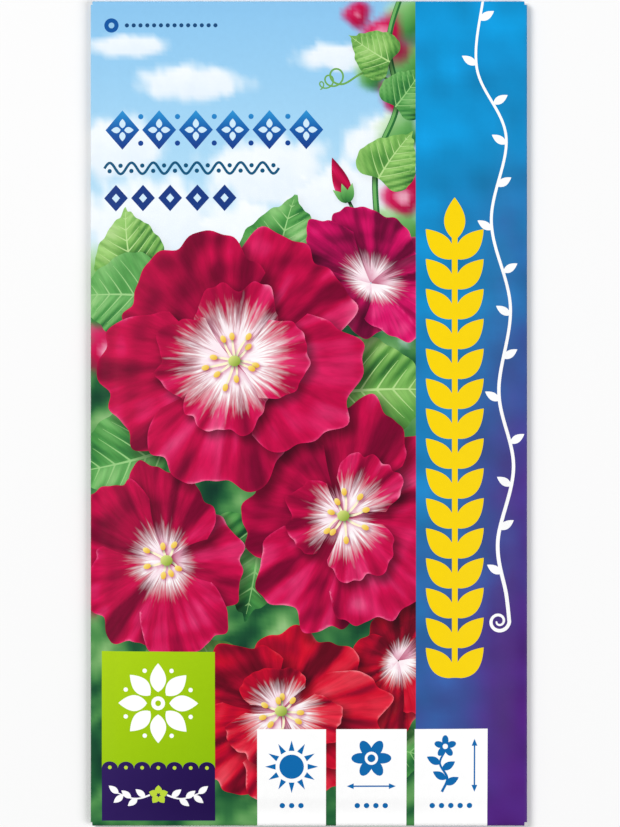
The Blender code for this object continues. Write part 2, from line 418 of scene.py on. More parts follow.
class Bloom:
    """A five-petalled flower: broad ruffled petals that overlap round a pale throat."""

    PETALS = 5
    SPREAD = 0.90
    INNER = 0.58
    SHADOW = 2.0
    SUNK = 0.42
    STAMEN = 0.20
    RIM_WAVES = (0.030, 0.030, 0.018, 0.009)
    THROAT_COLOURS = ((196, 108, 132), (232, 176, 192), (250, 228, 236), WHITE)

    def __init__(self, x, y, size, turn, tilt, lean, colours, seed, throat):
        self.middle = np.array([x, y])
        self.size, self.turn = size, math.radians(turn)
        self.tilt, self.lean = tilt, math.radians(lean)
        self.colours, self.seed, self.throat = colours, seed, throat

    def sunk(self, local):
        """How far a tilted flower's throat slips sideways behind its rim."""
        radius = np.minimum(1, np.linalg.norm(local, axis=1))
        return self.SUNK * (1 - self.tilt) * (1 - radius) ** 2

    def out(self, local):
        """From the flower's own plane, in shares of its size, to the picture."""
        x, y = turned(local, -self.lean).T
        seen = together(x * self.tilt - self.sunk(local), y)
        return turned(seen, self.lean) * self.size + self.middle

    def back(self, xy):
        way = turned((xy - self.middle) / self.size, -self.lean)
        local = way / (self.tilt, 1.0)
        for _ in range(6):
            local = together((way[:, 0] + self.sunk(local)) / self.tilt, way[:, 1])
        return turned(local, self.lean)

    def out_polar(self, radius, turn):
        return self.out(together(radius * np.cos(turn), radius * np.sin(turn)))

    def petal_way(self, number):
        return self.turn + number * math.tau / self.PETALS

    def polar(self, xy, number):
        """Distance from the flower's middle, and angle from the petal's midline."""
        local = self.back(xy)
        angle = np.arctan2(local[:, 1], local[:, 0]) - self.petal_way(number)
        return np.linalg.norm(local, axis=1), (angle + math.pi) % math.tau - math.pi

    def waves(self, number):
        draw_from = np.random.default_rng(int(self.seed * 310 + number * 10))
        counts = draw_from.uniform((5, 10, 17, 29), (7, 13, 22, 36))
        return counts, draw_from.uniform(0, math.tau, 4)

    def rim(self, angle, number):
        """How far the petal reaches, at an angle from its midline."""
        waves = zip(self.RIM_WAVES, *self.waves(number))
        ruffle = sum(size * np.sin(count * angle + phase) for size, count, phase in waves)
        notch = 0.07 * np.exp(-((angle / 0.13) ** 2))
        return 1 - 0.36 * (np.abs(angle) / self.SPREAD) ** 2.6 - notch + ruffle

    def petal(self, number, share):
        angle = np.linspace(-self.SPREAD, self.SPREAD, 70)
        rim = self.rim(angle, number) * share
        up = np.linspace(0.02, 0.985, 16)
        side = self.SPREAD * (0.72 + 0.28 * up**0.7)
        radius = np.concatenate([up * rim[0], rim, up[::-1] * rim[-1]])
        angle = np.concatenate([-side, angle, side[::-1]])
        return self.out_polar(radius, angle + self.petal_way(number))

    def height(self, xy, number, share):
        radius, angle = self.polar(xy, number)
        radius = radius / share
        counts, phases = self.waves(number)
        phases = phases + 1.2
        ruffle = 0.060 * np.sin(counts[0] * angle + phases[0])
        ruffle += 0.042 * np.sin(counts[1] * angle + phases[1] + 1.5 * radius)
        ruffle += 0.016 * np.sin(counts[2] * angle + phases[2])
        ridge = 0.004 * np.sin(40 * angle + 3 * np.sin(5 * radius + number))
        cup = 0.30 * radius**1.6 - 0.34 * np.maximum(0, radius - 0.62) ** 1.5
        arch = radius * (0.05 * np.exp(-((angle / 0.10) ** 2)) - 0.17 * (angle / self.SPREAD) ** 2)
        rough = 0.020 * ripple(xy, self.size * 0.34, int(self.seed * 70 + number * 10))
        return share * self.size * (cup + arch + (ruffle + ridge) * radius**1.7 + rough * radius)

    def petal_paint(self, number, share, dull, throat):
        def paint(xy):
            radius, angle = self.polar(xy, number)
            light = facing(slopes(lambda at: self.height(at, number, share), xy))
            edge = self.rim(angle, number) * share - radius
            value = 0.52 - dull + 0.98 * (light - 0.70)
            value += 0.20 * np.exp(-np.maximum(edge, 0) / 0.012)
            value += 0.06 * ripple(xy, self.size * 0.5, int(self.seed * 30 + number * 10) + 900)
            value -= 0.14 * smoothstep(0.50, 0.20, radius / share) * (radius > 0.1)
            whiteness = 0.80 + 0.55 * (light - 0.72) + 0.25 * (radius / throat - 0.5)
            ray = (angle * 15, radius * self.size * 0.16, self.seed * 5.3 + number * 2.9)
            ink, pale = ramp(value, self.colours), ramp(whiteness, self.THROAT_COLOURS)
            return rows(ink, pale=pale, ray=ray, grain=0.42, throat=radius / throat)

        return paint

    def draw(self, inner, dull):
        """The outer petals, every other one a little darker, and then the inner ones."""
        throat = self.throat * (0.7 if inner else 1.0)
        for number in range(self.PETALS):
            paint = self.petal_paint(number, 1.0, dull + 0.035 * (number % 2), throat)
            draw(self.petal(number, 1.0), paint, shadow=self.SHADOW)
        for number in spaced(0.5, self.PETALS / max(1, inner), inner):
            paint = self.petal_paint(number, self.INNER, dull - 0.02, self.throat)
            draw(self.petal(number, self.INNER), paint, shadow=self.SHADOW * 0.8)

    def stamens(self, count):
        draw_from = np.random.default_rng(self.seed + 400)
        t = np.linspace(0.02, 1, 8)
        for number in range(count):
            angle = number * math.tau / count + draw_from.uniform(-0.15, 0.15)
            length = self.STAMEN * draw_from.uniform(0.65, 1.1)
            bent = angle + 0.5 * (t - 0.5) * draw_from.uniform(-1, 1)
            path = self.out_polar(length * t, bent)
            draw(strip(path, 0.55, 0.34), (252, 244, 206), shadow=0.5, depth=0.35)
            tip = path[-1]
            paint = fade(tip + (-0.6, 0.6), tip + (0.6, -0.6), ((255, 240, 150), (226, 168, 40)))
            draw(ellipse(*tip, 0.75, 0.52, 12, bent[-1]), paint, shadow=0.5)
        heart = self.out(np.zeros((1, 2)))[0]
        paint = fade(heart + (-1, 1), heart + (1, -1), ((236, 240, 150), (120, 150, 40)))
        draw(ellipse(*heart, 1.15, 1.0, 18), paint, shadow=0.6)


def draw_bud(x, y, length, angle):
    """A furled, pointed bud in its green cup, tip along the angle from +Y."""
    turn, seed = math.radians(angle), 2
    t = np.linspace(0, 1, 24)
    half = length * 0.20 * np.sin(math.pi * t**0.8) ** 0.85 * (1 - 0.30 * t)

    def paint(xy):
        local = turned(xy - (x, y), -turn)
        along = np.clip(local[:, 1] / length, 0, 1)
        side = local[:, 0] / (length * 0.2)
        twist = np.sin(9 * along + 4.2 * side + seed)
        value = 0.50 + 0.22 * twist - 0.26 * side * math.cos(turn) - 0.1 * along
        return rows(ramp(value, CRIMSON), ray=(6 * side + 5 * along, along, seed), grain=0.3)

    draw(turned(blade(half, t * length), turn) + (x, y), paint, shadow=1.0)
    reach = length * 0.42
    t = np.linspace(0, 1, 12)
    sepal = blade(length * 0.085 * np.sin(math.pi * t**0.7), t * reach)
    for way in (turn + 0.55, turn, turn - 0.55):
        tip = (x - reach * math.sin(way), y + reach * math.cos(way))
        draw(turned(sepal, way) + (x, y), fade((x, y), tip, LEAF[1:5]), shadow=0.5)


def draw_stem(points, start, end):
    path = smooth_path(points)
    draw(strip(path, start, end), LEAF[1], shadow=0.8)
    draw(strip(path + (-0.12, 0.12), start * 0.5, end * 0.5), LEAF[3])


def draw_tendril(points, loops, radius):
    """A thread that runs through the points and ends in a spring of shrinking loops."""
    width = 0.42
    path = smooth_path(points)
    way = path[-1] - path[-2]
    heading = math.atan2(way[1], way[0])
    ahead = np.array([math.cos(heading), math.sin(heading)])
    t = np.linspace(0, 1, loops * 26)[1:]
    turn = heading + math.pi / 2 - t * loops * math.tau
    coil = (radius * (1 - 0.72 * t))[:, None] * together(np.cos(turn), np.sin(turn))
    coil += path[-1] + radius * np.array([ahead[1], -ahead[0]]) + np.outer(t * radius * 0.9 * loops, ahead)
    draw(strip(np.vstack([path, coil]), width, width * 0.55), (112, 168, 84))


# The front's far background: sky, clouds and blurred foliage. Each cloud has its middle
# and its reach along x and y; each far flower and leaf has its middle and its size

CLOUDS = (
    (-30, 36, 16, 10), (-12, 31, 17, 11), (6, 40, 14, 9), (-36, 50, 10, 7), (-7, 45, 15, 8),
    (14, 50, 9, 7), (-22, 62, 12, 4), (6, 67, 10, 3), (-34, 69, 9, 2.5),
)
FAR_BLOOMS = (
    (14, 70, 4.2), (17, 60, 3.2), (9, 75, 2.4), (18, 41, 3.6), (-38, 12, 4.5), (-39, -30, 6),
    (15, -18, 7), (-12, -56, 9),
)
FAR_LEAVES = ((19, 66, 4.5), (12, 64, 3.0), (17, 52, 3.8), (18.5, 74, 4), (-40, 22, 7), (17, 33, 6))
SKY = ((214, 236, 248), (180, 220, 243), (156, 207, 240), (136, 194, 235))
CLOUD_COLOURS = ((190, 214, 234), (228, 238, 247), (252, 253, 255))
FOLIAGE = ((10, 54, 40), (30, 90, 52), (74, 138, 74), (122, 174, 106), (174, 210, 150))


def clouded_sky(xy):
    x, y = xy.T
    rough = ripple(xy, 5.0, 3) * 0.5 + ripple(xy, 2.4, 4) * 0.3
    cloud, lit = np.zeros(len(xy)), np.zeros(len(xy))
    for cx, cy, across, up in CLOUDS:
        right, high = (x - cx) / across, (y - cy) / up
        body = smoothstep(-0.05, 0.42, 1 - np.hypot(right, high) + 0.16 * rough)
        light = 0.5 + 0.5 * np.clip(high - 0.3 * right + 0.3 * rough, -1, 1)
        lit = np.where(body > cloud, light, lit)
        cloud = np.maximum(cloud, body)
    return mixed(ramp((y - 20) / 58, SKY), ramp(0.55 + 0.45 * lit, CLOUD_COLOURS), cloud * 0.92)


def background(xy):
    x, y = xy.T
    foliage = ramp(0.42 + 0.20 * ripple(xy, 13, 8) + 0.10 * ripple(xy, 5, 9), FOLIAGE)
    edge = 18 + 4 * ripple(together(x, 0.0), 16, 12) + 2 * ripple(xy, 6, 13)
    seen = mixed(clouded_sky(xy), foliage, smoothstep(edge + 3.5, edge - 3.5, y))
    for cx, cy, size in FAR_LEAVES:
        near = np.hypot(x - cx, (y - cy) * 0.9) / size + 0.14 * ripple(xy, 4, int(cx + 50))
        shade = 0.5 - (x - cx + cy - y) / size * 0.3
        seen = mixed(seen, ramp(shade, LEAF), smoothstep(1.4, 0.55, near))
    for cx, cy, size in FAR_BLOOMS:
        near = np.hypot(x - cx, y - cy) / size + 0.16 * ripple(xy, 5, int(cy + 90))
        shade = 0.55 - (x - cx + cy - y) / size * 0.22
        seen = mixed(seen, ramp(shade, CRIMSON), smoothstep(1.4, 0.60, near))
        seen = mixed(seen, (250, 214, 224), 0.75 * smoothstep(0.55, 0.0, near))
    return rows(seen)


def band_paint(xy):
    """Cloudy blue at the top left, through to violet at the bottom right."""
    x, y = xy.T
    down = (HEIGHT / 2 - y) / HEIGHT
    across = smoothstep(BAND_X, WIDTH / 2, x)
    value = 0.62 * down + 0.38 * across * np.minimum(1, 1.9 * down)
    value += 0.04 * ripple(xy, 22, 31) + 0.02 * ripple(xy, 7, 32)
    colours = ((8, 150, 214), (14, 134, 194), (34, 116, 176), (56, 82, 152), (74, 46, 130), (80, 26, 120))
    cloudy = 1 + 0.05 * ripple(xy, 11, 33)[:, None]
    return rows(np.clip(ramp(value, colours) * cloudy, 0, 255))


def back_paint(xy):
    value = 0.5 + 0.5 * xy[:, 1] / HEIGHT + 0.03 * ripple(xy, 30, 61)
    return rows(ramp(value, ((250, 250, 247), (246, 250, 252), (224, 240, 250))))


# The front's picture, in millimetres from the middle of the packet

# Each leaf's foot, length, half-width, way, bend, colours, seed and brightness
LEAVES = (
    (15.2, 66, 10, 5.8, 62, 0.10, YOUNG_LEAF, 1),
    (16.2, 57.5, 10, 5.8, -40, -0.1, LEAF, 2),
    (13.0, 44, 12, 7.0, -30, 0.12, YOUNG_LEAF, 21),
    (-33, 26, 14, 8.4, 14, 0.15, YOUNG_LEAF, 3, 0.03),
    (-30, 22, 16, 10.0, 84, -0.12, LEAF, 4, 0.05),
    (-6, 27, 16, 9.6, -8, 0.12, LEAF, 5, 0.04),
    (-27, -7, 21, 12.5, 108, 0.1, LEAF, 7, 0.02),
    (6, 4, 21, 12.5, -84, 0.1, YOUNG_LEAF, 6),
    (-9, -20, 21, 12.0, 176, 0.1, LEAF, 9, -0.02),
    (13, -40, 17, 10.5, -116, 0.1, LEAF, 8),
    (-20, -42, 19, 11, 158, 0.1, YOUNG_LEAF, 10, -0.04),
    (10, -62, 15, 9, -96, 0.1, LEAF, 22, -0.04),
)

# Each flower's middle, size, turn, tilt, lean, colours, seed and throat, then how many inner
# petals it has, how dull it is, and how many stamens show
BLOOMS = (
    ((12.5, 26, 16.0, 15, 0.72, 60, MAGENTA, 11, 0.24), 0, 0.04, 0),
    ((18, -47, 14.0, 40, 0.74, -30, SCARLET, 12, 0.22), 0, 0.05, 0),
    ((-28, -28, 19.0, 5, 0.82, 200, CRIMSON, 13, 0.24), 0, 0.03, 7),
    ((-5, -57, 20.0, 70, 0.84, -80, SCARLET, 14, 0.24), 3, 0.01, 9),
    ((7.5, -19.5, 22.5, 20, 0.88, -20, CRIMSON, 15, 0.23), 3, 0.0, 9),
    ((-14.5, 10.5, 26.0, 50, 0.92, 130, CRIMSON, 16, 0.27), 4, 0.0, 11),
)


def draw_ground():
    """Back colour all over, and on it the front's far background, which runs round the folds."""
    draw(rectangle(-LEFT_END - 5, -END_TURN - 30, RIGHT_END + 5, END_TURN + 30), back_paint, coarse=3)
    left, right, end = -LEFT_FOLD - BLEED, RIGHT_FOLD + BLEED, END_FOLD + BLEED
    draw(rectangle(left, -end, right, end), background, coarse=2, takes=0.12)


def draw_picture():
    """The plant: leaves, then flowers from the back to the front, then the band over its edge."""
    draw_stem([(18.5, 82), (15, 70), (16.5, 58), (12.5, 46), (13.5, 28)], 1.0, 1.2)
    draw_stem([(24, -30), (18, -38), (12, -46), (-2, -50)], 1.3, 1.2)
    draw_tendril([(16.5, 62), (11, 64.0), (7, 62.0)], 3, 1.8)
    for leaf in LEAVES:
        Leaf(*leaf).draw()
    draw_stem([(9.6, 33), (8.9, 36.5), (7.4, 40.0)], 0.85, 0.6)
    draw_bud(7.4, 39.5, 9, 20)
    for bloom, inner, dull, stamens in BLOOMS:
        flower = Bloom(*bloom)
        flower.draw(inner, dull)
        if stamens:
            flower.stamens(stamens)
    draw(rectangle(BAND_X, -END_FOLD - BLEED, RIGHT_FOLD + BLEED, END_FOLD + BLEED), band_paint, coarse=3)


def draw_heading():
    """Rows of plain ornaments at the top left."""
    blues = ((44, 150, 214), (22, 92, 168), (24, 58, 136))
    pale, teal, navy = (206, 232, 247), (14, 84, 122), (22, 56, 128)
    y = 72.9
    dot(-37.1, y, 1.35, (16, 86, 160), 28)
    dot(-37.1, y, 0.55, (150, 200, 232), 14)
    for x in spaced(-34.2, 1.28, 14):
        dot(x, y, 0.40, (22, 72, 120))
    y, apart, last = 53.2, 6.9, 5
    for number, x in enumerate(spaced(-35.0, apart, last + 1)):
        paint = fade((x, 57), (x, 49.6), blues)
        draw(lozenge(x, y, 6.4, 7.4), paint)
        blade_ring(x, y, 4, 0.35, 1.75, 1.15, pale)
        if number < last:
            dot(x + apart / 2, y + 2.5, 0.5, paint, 14)
            dot(x + apart / 2, y - 2.5, 0.5, paint, 14)
    left, y, wavelength = -38.4, 46.0, 4.1
    t = np.linspace(left, -5.6, 150)
    draw(strip(together(t, y + 1.05 * np.sin((t - left) * math.tau / wavelength)), 0.5, 0.5), teal)
    for x in spaced(left + 1, wavelength, 8):
        dot(x + wavelength / 2, y + 0.5, 0.42, teal)
        dot(x, y - 0.5, 0.42, teal)
    for x in spaced(-36.2, 5.1, 5):
        draw(lozenge(x, 40.4, 4.5, 5.0), navy)
        draw(lozenge(x, 40.4, 1.5, 1.7), pale)


def draw_badge():
    """A lime panel with a white rosette, over a dark scalloped hem with a small sprig."""
    left, right, low, hem, high = -38.9, -17.6, -76.5, -66.6, -44.6
    lime = (190, 216, 60)
    violet = fade((left, hem), (right, low), ((46, 26, 92), (32, 12, 74)))
    panel = fade((left, high), (right, hem), ((172, 208, 14), (142, 188, 4)))
    draw(rectangle(left, low, right, high), panel)
    draw(rectangle(left, low, right, hem), violet)
    scallops = 7
    across = (right - left) / scallops
    t = np.linspace(0, math.pi, 12)
    for x in left + (np.arange(scallops) + 0.5) * across:
        scallop = together(x + across / 2 * np.cos(t), hem - 0.01 + across * 0.42 * np.sin(t))
        draw(scallop, violet)
        dot(x, hem + 0.15, 0.36, lime)
    x, y = (left + right) / 2, -54.3
    blade_ring(x, y, 8, 2.1, 5.4, 3.0, WHITE)
    for turn in spaced(math.pi / 8, math.pi / 4, 8):
        dot(*(x, y) + turned([(0, 6.6)], turn)[0], 0.42, WHITE)
    dot(x, y, 1.3, WHITE, 28)
    dot(x, y, 0.55, (160, 200, 10), 14)
    y = -71.6
    t = np.linspace(0, 1, 24)
    for side in (-1, 1):
        path = together(x + side * (1.6 + 6.8 * t), y - 0.7 * np.sin(t * math.pi * 1.3))
        draw(strip(path, 0.34, 0.2), WHITE)
        for at, up in ((3, 1), (8, -1), (12, 1), (17, -1), (20, 1)):
            draw(leaf_blade(*path[at], 2.3, 1.15, -side * (90 - up * 38)), WHITE)
    blade_ring(x, y, 5, 0.25, 1.6, 1.3, lime)


def draw_garland():
    """The bold yellow column of paired leaves on the band."""
    middle, low, high, pairs = 27.3, -49.5, 40.5, 15
    draw(rectangle(middle - 0.55, low, middle + 0.55, high - 4), YELLOW)
    for y in spaced(low, (high - low - 6) / pairs, pairs):
        for side in (-1, 1):
            draw(leaf_blade(middle + side * 0.35, y, 7.6, 3.9, -side * 42), YELLOW)
    draw(leaf_blade(middle, high - 8, 8.0, 4.0, 0), YELLOW)


def draw_flourish():
    """A white sprig that uncurls from a scroll and climbs the band's outer side."""
    width = 0.72
    t = np.linspace(0, 1, 60)
    turn = -3 * math.pi * (1 - t)
    scroll = (0.40 + 1.60 * t)[:, None] * together(np.cos(turn), np.sin(turn)) + (35.6, -39.0)
    draw(strip(scroll, 0.32, width), WHITE)
    path = smooth_path([
        (37.6, -39.2), (37.0, -34), (35.4, -24), (38.4, -10), (35.6, 4), (37.8, 20), (34.2, 36),
        (37.0, 52), (31.5, 65), (33.0, 80),
    ])
    draw(strip(path, width, 0.45), WHITE)
    for number, at in enumerate(np.linspace(0.08, 0.95, 14)):
        side = 1 if number % 2 else -1
        draw(leaf_blade(*path[int(at * (len(path) - 1))], 3.2, 1.5, -side * 58), WHITE)


def draw_sun(x, y):
    dot(x, y, 2.3, TILE_INK, 30)
    for turn in np.arange(12) * math.pi / 6:
        draw(turned([(3.0, -0.55), (3.0, 0.55), (5.0, 0)], turn) + (x, y), TILE_INK)


def draw_flower_width(x, y):
    """A flower over an arrow as wide as it."""
    petal_ring(x, y, 6, 0, 2.0, 1.75, 1.02, 20)
    dot(x, y, 1.25, WHITE, 20)
    dot(x, y, 0.75, TILE_INK, 16)
    draw_arrow((x - 4.6, y - 5.3), (x + 4.6, y - 5.3))


def draw_plant_height(x, y):
    """A plant in flower, beside an arrow as high as it."""
    stalk = [(x - 0.3, y - 4.6), (x + 0.7, y - 2.0), (x - 0.7, y + 0.8), (x + 0.3, y + 3.2)]
    draw(strip(smooth_path(stalk), 0.5, 0.36), TILE_INK)
    for dx, dy, angle in ((0.3, -3.2, -62), (0.5, -2.2, 60), (-0.3, -0.4, -58), (-0.6, 0.7, 62)):
        draw(leaf_blade(x + dx, y + dy, 2.9, 1.45, angle), TILE_INK)
    petal_ring(x + 0.3, y + 4.0, 5, 0.25, 1.15, 0.98, 0.62, 16)
    dot(x + 0.3, y + 4.0, 0.5, WHITE, 14)
    draw_arrow((x + 5.8, y - 4.6), (x + 5.8, y + 5.4))


def draw_arrow(low, high):
    """A thin line with a head at each end."""
    width, head = 0.28, 1.3
    low, high = np.array(low), np.array(high)
    way = (high - low) / np.linalg.norm(high - low)
    side = np.array([-way[1], way[0]]) * 0.55
    path = np.linspace(low + way * head * 0.6, high - way * head * 0.6, 8)
    draw(strip(path, width, width), TILE_INK)
    for tip, sign in ((low, 1), (high, -1)):
        foot = tip + sign * way * head
        draw([tip, foot + side, foot - side], TILE_INK)


def draw_tiles():
    """Three white tiles: sun, spread and height, each over a row of plain marks."""
    tiles = ((-9.7, 3.2), (5.1, 18.3), (19.8, 33.5))
    for left, right in tiles:
        draw(rectangle(left, -END_FOLD - 0.9, right, -59.1), WHITE)
    middles = [sum(tile) / 2 for tile in tiles]
    draw_sun(middles[0], -66.2)
    draw_flower_width(middles[1], -64.6)
    draw_plant_height(middles[2] - 1.4, -66.4)
    for middle, marks in zip(middles, (3, 4, 5)):
        for x in middle + (np.arange(marks) - (marks - 1) / 2) * 1.75:
            dot(x, -73.6, 0.52, TILE_INK, 14)


# The back, drawn as someone who looks at it sees it, and laid out on the two wings

def draw_back(outline, colours, ends=None):
    """A shape on the back, once on each wing, so that it meets itself at the seam."""
    for middle in (RIGHT_TURN + RIGHT_FOLD, -LEFT_TURN - LEFT_FOLD):
        paint = fade(*(np.array(ends) + (middle, 0)), colours) if ends else colours
        draw(np.array(outline) + (middle, 0), paint, coarse=3)


def draw_back_heading():
    left, right = -39.4, 39.5
    draw_back(rectangle(left, 44, right, 66), BACK_BLUES, ((right, 0), (left, 0)))
    for x in spaced(-32.5, 6.5, 11):
        draw_back(lozenge(x, 55, 4.4, 6.4), YELLOW)
    t = np.linspace(-37, 37, 220)
    for y in (48.5, 61.5):
        draw_back(strip(together(t, y + 0.9 * np.sin(t * math.tau / 6.5)), 0.5, 0.5), WHITE)


def draw_calendar():
    """Three rows of twelve months, each with a bar over those from start to stop."""
    months, left, wide, tall, gap = 12, -36.0, 6.0, 5.4, 0.25
    bars = ((2, 5, (120, 176, 40)), (4, 7, (40, 112, 184)), (6, 10, RED))
    for y, (start, stop, colour) in zip(spaced(33, -6.6, 3), bars):
        for x in spaced(left, wide, months):
            draw_back(rectangle(x + gap, y, x + wide - gap, y + tall), (226, 234, 240))
        x0, x1 = left + start * wide + 0.8, left + stop * wide - 0.8
        draw_back(rounded(x0, y + 1.5, x1, y + tall - 1.5, 1.1), colour)


def draw_growth():
    """Three discs: a seed in the soil, a sprout and a flower."""
    seed, sprout, flower = spaced(-24, 24, 3)
    for x in (seed, sprout, flower):
        draw_back(ellipse(x, 4, 8.4, 8.4, 48), (236, 244, 236))
        draw_back(ellipse(x, 4, 7.6, 7.6, 48), (214, 232, 246))
    draw_back(rectangle(seed - 6.5, -0.9, seed + 6.5, 3.2), SOIL)
    draw_back(ellipse(seed, 1.2, 1.1, 0.8, 14), (40, 26, 20))
    draw_back(strip(np.array([(0.0, -1.5), (0.2, 1.0), (0.0, 3.6), (0.1, 6.0)]), 0.6, 0.5), GREEN)
    for side in (-1, 1):
        draw_back(leaf_blade(side * 0.1, 5.4, 4.6, 2.6, -side * 55), (90, 160, 70))
        draw_back(leaf_blade(side * 0.1, 2.2, 3.2, 1.8, -side * 62), GREEN)
    draw_back(rectangle(sprout - 5.5, -1.6, sprout + 5.5, -0.6), SOIL)
    blade_ring(flower, 4, 5, 0, 5.4, 4.2, RED, draw_back)
    draw_back(ellipse(flower, 4, 1.5, 1.5, 16), (250, 226, 232))


def draw_ruled_lines():
    """Six long lines and a short one, over a panel with five pairs of leaves."""
    left, right, short = -36, 36, 14
    for y, end in zip(spaced(-12, -5.2, 7), [right] * 6 + [short]):
        draw_back(rectangle(left, y, end, y + 0.35), (158, 178, 190))
    draw_back(rounded(left, -63.5, right, -51.5, 2.0), (240, 246, 232))
    for x in spaced(-26, 13, 5):
        for side in (-1, 1):
            draw_back(leaf_blade(x + side * 0.3, -60.5, 5.4, 2.6, -side * 42), (150, 190, 40))


def draw_back_print():
    """The wings' own ground, which covers what the front's shapes leave there, and their print."""
    high = END_FOLD + 1
    draw(rectangle(-LEFT_END - 5, -high, -LEFT_FOLD - BLEED, high), back_paint, coarse=3)
    draw(rectangle(RIGHT_FOLD + BLEED, -high, RIGHT_END + 5, high), back_paint, coarse=3)
    draw_back_heading()
    draw_calendar()
    draw_growth()
    draw_ruled_lines()


def draw_flaps():
    """The end flaps carry the band's colours, edge to edge."""
    paint = fade((-LEFT_FOLD, 0), (RIGHT_FOLD, 0), BACK_BLUES)
    for sign, length in ((1, TOP_FLAP), (-1, BOTTOM_FLAP)):
        low, high = sorted((sign * (END_FOLD + BLEED), sign * (END_TURN + length + 5)))
        draw(rectangle(-LEFT_FOLD - 2, low, RIGHT_FOLD + 2, high), paint, coarse=3)


# The folded sheet

def bulge(x, y):
    """How far the front panel stands above its folded edges."""
    half = np.where(x < 0, LEFT_FOLD, RIGHT_FOLD)
    share = np.clip(np.abs(x) / half, 0, 1)
    along = np.clip((y + END_FOLD) / (2 * END_FOLD), 0, 1)
    low = 1 - np.clip(1 - along / BULGE_PEAK, 0, 1) ** LOW_POWER
    high = 1 - np.clip((along - BULGE_PEAK) / (1 - BULGE_PEAK), 0, 1) ** HIGH_POWER
    rise = np.where(along < BULGE_PEAK, low, high)
    margin = np.minimum(half - np.abs(x), END_FOLD - np.abs(y))
    xy = together(x, y)
    dents = 0.10 * ripple(xy, 34, 71) + 0.035 * ripple(xy, 11, 72) * smoothstep(30, -60, y)
    rim = smoothstep(0, 5, margin)
    full = BULGE * (1 - share**SIDE_POWER) * rise * (0.94 + 0.06 * rim)
    return rim * (full + dents * smoothstep(0, 12, margin))


def side_fold(u, fold, radius):
    """Distance across, drop below the front, and turn of the sheet, at u from the middle line."""
    arc = math.pi * radius
    turn = np.clip((u - fold) / radius, 0, math.pi)
    across = np.where(u <= fold, u, fold + radius * np.sin(turn) - np.maximum(0, u - fold - arc))
    return across, radius * (1 - np.cos(turn)), turn


def folded(uv):
    """Where points of the blank lie at mid-paper on the folded packet, and which way they face."""
    u, v = uv.T
    left = u < 0
    sign_u, sign_v = np.where(left, -1.0, 1.0), np.where(v < 0, -1.0, 1.0)
    beside = np.abs(u) > np.where(left, LEFT_FOLD, RIGHT_FOLD) + 1e-6
    on_flap = ~beside & (np.abs(v) > END_FOLD + 1e-6)
    by_left = side_fold(np.abs(u), LEFT_FOLD, LEFT_RADIUS)
    by_right = side_fold(np.abs(u), RIGHT_FOLD, RIGHT_RADIUS)
    across, drop, turn = (np.where(left, a, b) for a, b in zip(by_left, by_right))
    y_flap, drop_flap, turn_flap = side_fold(np.abs(v), END_FOLD, END_RADIUS)
    beyond = np.maximum(0, np.abs(v) - END_TURN)
    narrow = 1 - FLAP_TAPER / LEFT_FOLD * beyond / np.where(v > 0, TOP_FLAP, BOTTOM_FLAP)
    on_front, step = ~(on_flap | beside), 0.02
    slope_x = on_front * (bulge(u + step, v) - bulge(u - step, v)) / (2 * step)
    slope_y = on_front * (bulge(u, v + step) - bulge(u, v - step)) / (2 * step)
    x = np.where(on_flap, u * narrow, sign_u * across)
    y = np.where(on_flap, sign_v * y_flap, v)
    z = FRONT_Z - np.where(on_flap, drop_flap, drop) + on_front * bulge(u, v)
    nx = np.where(on_flap, 0, sign_u * np.sin(turn)) - slope_x
    ny = np.where(on_flap, sign_v * np.sin(turn_flap), 0) - slope_y
    normal = np.stack([nx, ny, np.where(on_flap, np.cos(turn_flap), np.cos(turn))], 1)
    return np.stack([x, y, z], 1), normal / np.linalg.norm(normal, axis=1)[:, None]


def blank_outline():
    """The die-cut cross, counter-clockwise."""
    top, low = END_TURN + TOP_FLAP, -END_TURN - BOTTOM_FLAP
    left, right = -LEFT_FOLD, RIGHT_FOLD
    return np.array([
        (left, low), (right, low), (right, -END_FOLD), (RIGHT_END, -END_FOLD), (RIGHT_END, END_FOLD),
        (right, END_FOLD), (right, top), (left, top), (left, END_FOLD), (-LEFT_END, END_FOLD),
        (-LEFT_END, -END_FOLD), (left, -END_FOLD),
    ])


def fold_lines(step):
    """Lines of points along each fold, side by side, so that the sheet can bend there."""
    v = np.linspace(-END_FOLD, END_FOLD, math.ceil(2 * END_FOLD / step) + 1)
    u = np.linspace(-LEFT_FOLD, RIGHT_FOLD, math.ceil((LEFT_FOLD + RIGHT_FOLD) / step) + 1)
    found = []
    for start, stop in ((-LEFT_TURN, -LEFT_FOLD), (RIGHT_FOLD, RIGHT_TURN)):
        found += [together(at, v) for at in np.linspace(start, stop, FOLD_STEPS + 1)]
    for start, stop in ((-END_TURN, -END_FOLD), (END_FOLD, END_TURN)):
        found += [together(u, at) for at in np.linspace(start, stop, FOLD_STEPS + 1)]
    return found


def grid_points(pitch, within):
    """Evenly spaced points in the outline, with how coarse a mesh each belongs to: 1, 2 or 3."""
    rise = pitch * math.sqrt(3) / 2
    low, high = within.min(0) / (pitch, rise), within.max(0) / (pitch, rise)
    along, up = (np.arange(math.floor(a), math.ceil(b) + 1) for a, b in zip(low, high))
    i, j = (index.ravel() for index in np.meshgrid(along, up))
    xy = together((i + 0.5 * (j % 2)) * pitch, j * rise)
    level = np.ones(len(xy), int)
    for coarse, every in ((2, 2), (3, 4)):
        level[(i % every == 0) & (j % every == 0)] = coarse
    kept = inside(xy, within)
    return xy[kept], level[kept]


def clear_of(grid, lines, size):
    """The grid's points that share no square of that size with a point of the lines."""
    taken = set(map(tuple, np.floor(np.vstack(lines) / size).astype(int)))
    return grid[[tuple(square) not in taken for square in np.floor(grid / size).astype(int)]]


